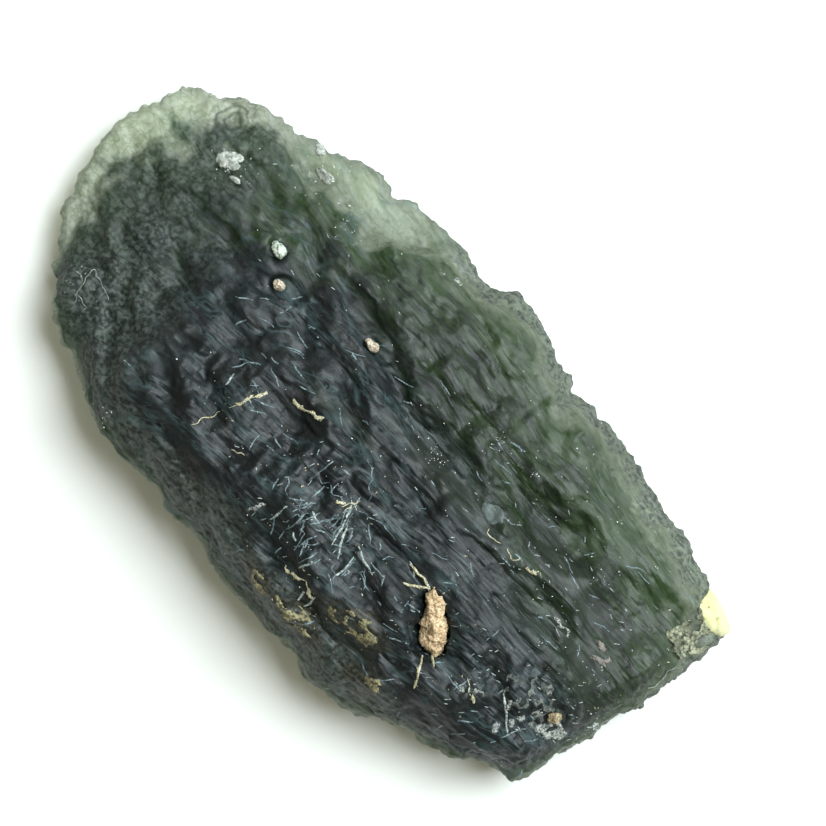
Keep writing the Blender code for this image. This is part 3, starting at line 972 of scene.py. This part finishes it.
# Iron dried to a film a few hundredths thick: greyish mauve, matte, in flecks.
mauve = grainy_mineral("mauve_iron_film", "#66605A", "#8A837B", "#423E3A", 0.10, relief=0.4)
crust("mauve_film", speckled(spots(MAUVE), 0.30, 0.05, 237), 0.02, mauve, 0.03, 5)
PEBBLE_LIME = ((18.5, -2.6, 1.9, 1.1, 40),)
crust("pebble_lime", speckled(spots(PEBBLE_LIME), 0.35, 0.25, 243), 0.02, haze, 0.04, 6)
DUST = ((16.3, -2.6, 4.2, 3.0, 45),)
# Dust caught in the rough corner: mid grey, matte, in winding flecks along the pits.
dusk = grainy_mineral("grey_pit_dust", "#474C47", "#757A73", "#2E3432", 0.10, relief=0.4)
crust("corner_dust", speckled(spots(DUST), 0.34, 0.06, 241), 0.004, dusk, 0.02, 12)
FLAKE = ((7.6, 2.2, 1.8, 1.0, 20),)
# A flake of the glass itself, frosted by etching all over: blue-grey, satin, half clear.
frosted = grainy_mineral("frosted_flake", "#3F4B49", "#6F7C79", "#4A5653", 0.30, 0.6, 0.05, 0.3)
crust("frosted_flake", spots(FLAKE), 0.01, frosted, 0.0, 8)

# %% [markdown]
# ## Veins, slivers and threads
#
# Cream clay has been washed into the narrowest grooves and dried there as thin veins. A few
# splinters and two stray fibres lie across the skin. Each is a slender closed tube laid along a
# short path on the skin: flattened and broad for a vein, round and thin for a fibre.

# %% A path in the plan
STEP = 0.07  # millimetres between the rings of a thread
SIDES = 8
FEWEST_POINTS = 5


def smooth_path(corners, wobble, seed):
    """Many points through a few corners, with a small wander, in the plan."""
    corners = np.asarray(corners, dtype=float)
    reach = np.concatenate(([0], np.cumsum(np.linalg.norm(np.diff(corners, axis=0), axis=1))))
    along = np.linspace(0, reach[-1], max(6, int(reach[-1] / STEP)))
    path = np.column_stack([np.interp(along, reach, corners[:, axis]) for axis in (0, 1)])
    if len(corners) > 2:
        for _ in range(max(1, len(path) // 12)):
            path[1:-1] = (path[:-2] + path[1:-1] * 2 + path[2:]) / 4
    place = np.column_stack((along / 0.5, along * 0 + seed, along * 0))
    sway = np.column_stack([gradient_noise(place, number) for number in (241, 243)])
    return path + wobble * sway


print("points on a path of 1 mm:", len(smooth_path(((0, 0), (1, 0)), 0.0, 1)))

# %% Lay a thread along a path
def thread(corners, width, height, lift, wobble, seed):
    """Points and faces of one thread that lies on the skin, thin at both ends."""
    path = smooth_path(corners, wobble, seed)
    laid = [dropped(x, y) for x, y in path]
    laid = [(p, n) for p, n in laid if p is not None]
    if len(laid) < FEWEST_POINTS:
        return [], []
    centre = np.array([p for p, _ in laid])
    centre[:, 2] = np.convolve(np.pad(centre[:, 2], 2, mode="edge"), np.ones(5) / 5, mode="valid")
    ahead = np.gradient(centre, axis=0)
    ahead /= np.linalg.norm(ahead, axis=1)[:, None]
    up = np.array([n for _, n in laid]) * 0.5 + (0, 0, 0.8)
    side = np.cross(ahead, up)
    side /= np.linalg.norm(side, axis=1)[:, None]
    up = np.cross(side, ahead)
    share = np.linspace(0, 1, len(centre))
    swell = np.sin(np.pi * share) ** 0.35
    uneven = 1 + 0.7 * gradient_noise(np.column_stack((share * 0 + seed, centre[:, :2] / 0.35)), 245)
    points = [centre[0]]
    for n in range(1, len(centre) - 1):
        for turn in np.arange(SIDES) * 2 * math.pi / SIDES:
            points.append(centre[n] + side[n] * math.cos(turn) * width / 2 * swell[n] * uneven[n]
                          + up[n] * (math.sin(turn) * height / 2 * swell[n] + lift))
    points.append(centre[-1])
    rings = len(centre) - 2
    last = len(points) - 1
    faces = [(0, 1 + s, 1 + (s + 1) % SIDES) for s in range(SIDES)]
    for ring in range(rings - 1):
        for s in range(SIDES):
            a, b = 1 + ring * SIDES + s, 1 + ring * SIDES + (s + 1) % SIDES
            faces.append((a, a + SIDES, b + SIDES, b))
    end = 1 + (rings - 1) * SIDES
    faces += [(end + s, last, end + (s + 1) % SIDES) for s in range(SIDES)]
    return points, faces


def threads(name, rows, width, height, lift, material, wobble=0.12):
    """Many threads as one piece; each row is the corners of one path."""
    points, faces = [], []
    for seed, corners in enumerate(rows):
        new_points, new_faces = thread(corners, width, height, lift, wobble, seed + 1)
        start = len(points)
        points += new_points
        faces += [tuple(index + start for index in face) for face in new_faces]
    mesh_thing(name, points, faces, material)
    print(name, len(faces), "faces")


# %% Cream clay in the grooves
def near_path(rows, width):
    """1 along the paths, fading to 0 at the ragged border of the given width."""
    nearest = np.full(len(skin_points), 99.0)
    for corners in rows:
        path = smooth_path(corners, 0.2, 7)
        reach = np.linalg.norm(skin_points[:, None, :2] - path[None], axis=2).min(axis=1)
        nearest = np.minimum(nearest, reach)
    ragged = (0.8 * gradient_noise(skin_points / 0.3, 247)
              + 0.5 * gradient_noise(skin_points / 0.9, 248))
    return ease(-(nearest / width - ragged), -1.0, 0.0) * (skin_normals[:, 2] > 0)


VEINS = (
    ((-5.9, -6.8), (-5.6, -5.8), (-5.4, -4.9)), ((-5.3, -4.7), (-5.0, -3.7), (-4.7, -2.7)),
    ((-3.5, -1.9), (-2.6, -1.7), (-1.7, -1.3)), ((2.1, -3.5), (2.6, -3.1), (3.1, -2.9)),
    ((2.7, -3.6), (2.7, -3.0), (2.8, -2.5)), ((8.2, 1.7), (8.6, 1.4), (9.2, 1.6)),
    ((9.6, 1.8), (10.2, 1.5), (10.6, 1.9)), ((11.0, 1.8), (12.0, 2.1)),
    ((3.0, -7.8), (4.2, -7.4), (5.0, -7.7)),
    ((-3.6, -6.0), (-2.8, -5.6)), ((13.4, -4.2), (14.6, -4.8)),
)
SLIVERS = (
    ((8.0, -3.2), (8.6, -2.7)), ((6.9, -2.7), (8.0, -2.6), (9.3, -2.9)),
    ((11.0, -5.2), (11.5, -5.9), (12.1, -6.7)), ((7.4, -3.6), (8.3, -3.1)),
    ((10.9, -4.6), (11.9, -5.2)),
)
# Cream clay, washed in as mud: pale, matte and very fine.
cream = grainy_mineral("cream_clay", "#A19A7A", "#D8D3B6", "#6E684C", 0.08, relief=0.5)
crust("cream_veins", near_path(VEINS, 0.24), 0.04, cream, 0.10, 7)
threads("cream_threads", VEINS, 0.07, 0.07, 0.0, cream, 0.40)
threads("cream_slivers", SLIVERS, 0.16, 0.16, 0.05, cream, 0.10)

# %% [markdown]
# Etching leaves splinters of the glass standing on the skin. Most are under a tenth of a
# millimetre wide and lie in bundles along the flow, or star-wise in the rough hollows. A bundle
# is strewn round one place by seeded random numbers, which is quicker than laying each by hand.

# %% Splinters of the glass
ICY_THREADS = (
    ((1.1, -0.9), (1.9, -1.0), (2.4, -1.5), (3.3, -2.5)), ((2.9, -3.1), (2.5, -4.0), (2.7, -4.8)),
    ((3.1, -2.9), (4.6, -2.4), (5.6, -2.5)), ((0.4, -3.4), (1.6, -3.3), (2.9, -3.0)),
    ((-0.6, -4.6), (0.2, -5.3)), ((4.4, -5.6), (5.2, -6.4)), ((5.7, -4.6), (6.6, -5.5)),
    ((1.6, -5.0), (1.0, -6.3)), ((3.0, -5.6), (2.4, -6.8)), ((14.2, 0.1), (15.4, 0.3)),
)


def splinter_rows(count, x, y, spread, turn, seed):
    """Short straight rows strewn round (x, y); most of them lie at the given turn in degrees."""
    random = np.random.default_rng(seed)
    centre = (x, y) + random.normal(size=(count, 2)) * spread
    lean = np.radians(turn + random.normal(size=count) * 24)
    reach = random.uniform(0.18, 0.65, count)[:, None]
    way = np.column_stack((np.cos(lean), np.sin(lean))) * reach
    bend = random.normal(size=(count, 2)) * 0.05
    return list(np.stack((centre - way, centre + bend, centre + way), axis=1))


SPLINTER_BUNDLES = (  # how many, the middle, how wide they are strewn, their lie, and the seed
    (46, 2.4, -4.9, (2.2, 1.4), 100, 271), (34, -4.2, -1.6, (3.0, 1.8), 24, 273),
    (26, 8.5, -4.8, (3.4, 1.8), 12, 275), (30, 9.0, 3.2, (5.0, 2.0), 6, 277),
    (16, 16.2, -5.2, (2.0, 1.6), 60, 279),
)
SPLINTERS = [row for bundle in SPLINTER_BUNDLES for row in splinter_rows(*bundle)]
# Ridges of the same glass, frosted by etching: blue-grey and satin.
icy = grainy_mineral("icy_ridge", "#45555A", "#84969A", "#364347", 0.12, 0.6, 0.2)
threads("icy_threads", ICY_THREADS, 0.07, 0.07, 0.0, icy, 0.45)
threads("icy_splinters", SPLINTERS, 0.09, 0.05, 0.0, icy, 0.10)

# %% [markdown]
# Where a ridge is freshly broken it flashes. Most flashes are short dashes along the flow, so
# they reuse the bundles of splinters, cut to a third of their length. The few long strokes lie
# where grooves meet, and each is given one by one.

# %% Painted glints: bright dashes and strokes
DASH_BUNDLES = (
    (50, 11.0, 2.6, (4.4, 1.6), 6, 281), (34, 13.0, -3.4, (2.6, 2.0), 40, 283),
    (24, 1.6, -4.8, (2.6, 1.5), 80, 285), (26, 16.8, -2.4, (1.5, 1.3), 45, 289),
    (14, -5.0, 3.0, (3.6, 2.0), 12, 287),
)
DASH_LENGTH = 0.35  # share of a splinter's length
DASHES = [[middle + DASH_LENGTH * (corner - middle) for corner in (first, middle, last)]
          for bundle in DASH_BUNDLES for first, middle, last in splinter_rows(*bundle)]
STROKES = (
    ((2.7, -3.0), (3.2, -4.1), (3.6, -5.2)), ((3.3, -3.8), (3.8, -4.7), (4.4, -5.4)),
    ((4.8, -4.6), (5.0, -5.4), (4.9, -6.2)), ((3.6, -6.4), (3.5, -6.8), (3.4, -7.3)),
    ((4.5, -7.7), (4.6, -8.1), (4.7, -8.4)), ((5.1, -7.5), (5.2, -8.0), (5.1, -8.4)),
    ((1.8, -6.2), (2.0, -6.4), (2.3, -6.4)), ((2.4, -4.9), (2.0, -4.9), (1.6, -4.8)),
    ((0.5, -6.8), (0.6, -6.1), (0.5, -5.6)), ((-6.3, -4.1), (-6.4, -3.7), (-6.5, -3.3)),
    ((4.5, -4.1), (5.3, -4.4), (6.2, -4.5)), ((6.8, -2.6), (7.3, -2.7), (7.7, -3.0)),
    ((15.1, -3.2), (16.1, -3.8), (17.1, -4.6)), ((19.6, -1.2), (19.8, -0.85), (19.9, -0.5)),
)
# Painted glints on freshly broken edges of the glass: pale grey-green threads, satin, so they also
# catch the light.
painted_glint = grainy_mineral("painted_glint_ridge", "#6E7B76", "#B9C3BD", "#566260", 0.10, 0.5, 0.2)
threads("painted_glint_dashes", DASHES, 0.055, 0.04, 0.0, painted_glint, 0.04)
threads("painted_glint_strokes", STROKES, 0.15, 0.07, -0.01, painted_glint, 0.08)

# %% [markdown]
# Lint settles on any rough stone: a small tangle near the rounded end, and one short fibre on the
# rim of the broken end. A real fibre is about two hundredths of a millimetre thick; these are
# drawn twice as thick or more, so that they show.

# %% Stray fibres
LINT = (
    ((-14.8, -7.6), (-15.3, -6.6), (-15.6, -5.6), (-14.6, -5.7), (-13.7, -6.0)),
    ((-15.4, -6.4), (-16.2, -6.2)), ((-15.2, -7.0), (-14.2, -7.1)),
)
EDGE_FIBRE = (((20.1, 2.6), (20.4, 3.2), (20.1, 4.0), (20.3, 4.6)),)
# Cotton lint, spun and then shed: grey-white and quite without gloss.
cotton = grainy_mineral("cotton_lint", "#7D847F", "#AAB0AA", "#6A706B", 0.05, 0.95, 0.2)
threads("lint_fibres", LINT, 0.045, 0.045, 0.04, cotton, 0.30)
threads("edge_fibre", EDGE_FIBRE, 0.05, 0.05, 0.05, cotton, 0.30)

# %% [markdown]
# ## Specks
#
# White specks are painted glints: tiny white chips that stand for the flashes of light on the
# skin. They are thickest on the thin side. The cream specks are dust. Each speck is a tiny angular
# chip, half sunk in the skin, about a tenth of a millimetre; real dust is finer still and is drawn
# coarser here so that it shows.

# %% Scatter angular specks
def specks(name, places, sizes, material, seed):
    """Angular chips and splinters half sunk in the skin, as one piece."""
    random = np.random.default_rng(seed)
    points, faces = [], []
    tips = np.array([(1, 0, 0), (-1, 0, 0), (0, 1, 0), (0, -1, 0), (0, 0, 1), (0, 0, -1)])
    sides = [(0, 2, 4), (2, 1, 4), (1, 3, 4), (3, 0, 4),
             (2, 0, 5), (1, 2, 5), (3, 1, 5), (0, 3, 5)]
    for (x, y), size in zip(places, sizes):
        centre, _ = dropped(x, y)
        if centre is None:
            continue
        turn = np.linalg.qr(random.normal(size=(3, 3)))[0]
        if np.linalg.det(turn) < 0:
            turn[:, 0] *= -1
        chip = tips * random.uniform(0.35, 1.0, (6, 1)) * size / 2
        chip *= (random.choice((1.0, 1.0, 2.2)), 0.8, 0.8)
        start = len(points)
        points += list(centre + chip @ turn.T)
        faces += [tuple(start + index for index in side) for side in sides]
    mesh_thing(name, points, faces, material, smooth=False)
    print(name, len(faces), "faces")


def strewn(count, rows, seed):
    """Random places, gathered around (x, y, spread) rows, with how many go to each."""
    random = np.random.default_rng(seed)
    rows = np.array(rows)
    share = rows[:, 3] / rows[:, 3].sum()
    pick = random.choice(len(rows), size=count, p=share)
    return rows[pick, :2] + random.normal(size=(count, 2)) * rows[pick, 2][:, None]


print("strewn sample:", np.round(strewn(1, ((0, 0, 1, 1),), 1), 2))

# %% Specks in place
BRIGHT = ((-11.8, 7.2, 0.9, 8), (-8.7, 6.3, 0.6, 4), (-15.4, 3.7, 0.6, 5), (-3.2, 9.3, 0.6, 3),
          (-9.2, -10.0, 0.4, 2), (19.9, -0.9, 0.5, 3), (19.9, -0.8, 0.10, 3),
          (12.0, 6.0, 3.2, 9), (8.0, 5.0, 3.6, 6), (2.0, -4.0, 2.0, 4), (15.0, 1.5, 2.2, 4),
          (0.0, 3.0, 6.0, 5), (-8.0, 0.0, 6.0, 3), (3.6, 2.0, 0.35, 3), (7.6, 5.4, 0.15, 1),
          (5.1, 4.9, 0.4, 2), (-15.6, -6.6, 0.5, 2))
# Painted glints: small white chips, with a little gloss on each face.
glint_white = grainy_mineral("painted_glint_white", "#DDE4DE", "#FFFFFF", "#B9C4BC", 0.10, 0.35, 0.2)
places = strewn(700, BRIGHT, 251)
sizes = np.random.default_rng(253).uniform(0.04, 0.13, len(places))
specks("painted_glint_specks", places, sizes, glint_white, 255)
DUSTY = ((10.3, -3.8, 1.5, 6), (5.2, -8.6, 1.8, 6), (18.6, -1.6, 1.6, 5), (2.4, -5.2, 2.4, 6),
         (-5.2, -5.0, 1.2, 2), (16.0, -6.0, 2.4, 3), (19.5, 5.5, 1.0, 3))
places = strewn(300, DUSTY, 257)
sizes = np.random.default_rng(259).uniform(0.06, 0.16, len(places))
specks("cream_specks", places, sizes, cream, 261)

# %% [markdown]
# ## Floor, light and camera
#
# The stone lies on plain white card that is lit until it is whiter than white. One broad window
# from the upper right gives the long soft shadow at the lower left, and a dim warm room fills it.

# %% White floor
floor_mesh = bpy.data.meshes.new("floor")
shape = bmesh.new()
bmesh.ops.create_grid(shape, x_segments=1, y_segments=1, size=0.6)
shape.to_mesh(floor_mesh)
shape.free()
floor = bpy.data.objects.new("floor", floor_mesh)
floor.location.z = -0.03 * MM
bpy.context.scene.collection.objects.link(floor)
# Coated white card: matte, and slightly warm.
paper, paper_shader = new_material("white_card")
connect(paper, paper_shader, {"Base Color": linear("#F4F4F0"), "Roughness": 0.9})
floor.data.materials.append(paper)
print("floor:", tuple(round(side, 2) for side in floor.dimensions), "m")

# %% Soft light
def soft_light(name, aim, direction, distance, size, power, colour):
    """A square softbox that looks at the aim point from the given direction."""
    lamp = bpy.data.lights.new(name, "AREA")
    lamp.shape = "SQUARE"
    lamp.size = size
    lamp.energy = power
    lamp.color = colour
    thing = bpy.data.objects.new(name, lamp)
    towards = Vector(direction).normalized()
    thing.location = Vector(aim) + towards * distance
    thing.rotation_euler = towards.to_track_quat("Z", "Y").to_euler()
    bpy.context.scene.collection.objects.link(thing)


STONE_TURN = math.radians(50)
view_right = Vector((math.cos(STONE_TURN), math.sin(STONE_TURN), 0))
view_up = Vector((-math.sin(STONE_TURN), math.cos(STONE_TURN), 0))
window_way = view_right * 0.64 + view_up * 0.30 + Vector((0, 0, 1.0))
soft_light("window", (0, 0, 0), window_way, 0.45, 0.36, 4.3, (0.86, 0.95, 1.0))

# %% A dim warm room
world = bpy.data.worlds.new("room")
world.use_nodes = True
connect(world, world.node_tree.nodes["Background"],
        {"Color": (1.0, 0.95, 0.72, 1), "Strength": 0.31})
bpy.context.scene.world = world
print("lights:", [thing.name for thing in bpy.data.lights])

# %% Camera, straight above on a long lens, so that the plan keeps its shape
camera = bpy.data.cameras.new("camera")
camera.lens = 180
camera.sensor_width = 36
camera.clip_start = 0.005
FRAME_WIDTH = 43.76 * MM
FOCUS_HEIGHT = 3.0 * MM
distance = FRAME_WIDTH * camera.lens / camera.sensor_width
eye = bpy.data.objects.new("camera", camera)
eye.location = (1.06 * MM, 2.48 * MM, FOCUS_HEIGHT + distance)
eye.rotation_euler = (0, 0, STONE_TURN)
bpy.context.scene.collection.objects.link(eye)
bpy.context.scene.camera = eye
bpy.context.scene.view_settings.view_transform = "Standard"
print("camera height:", round(eye.location.z, 3), "m")
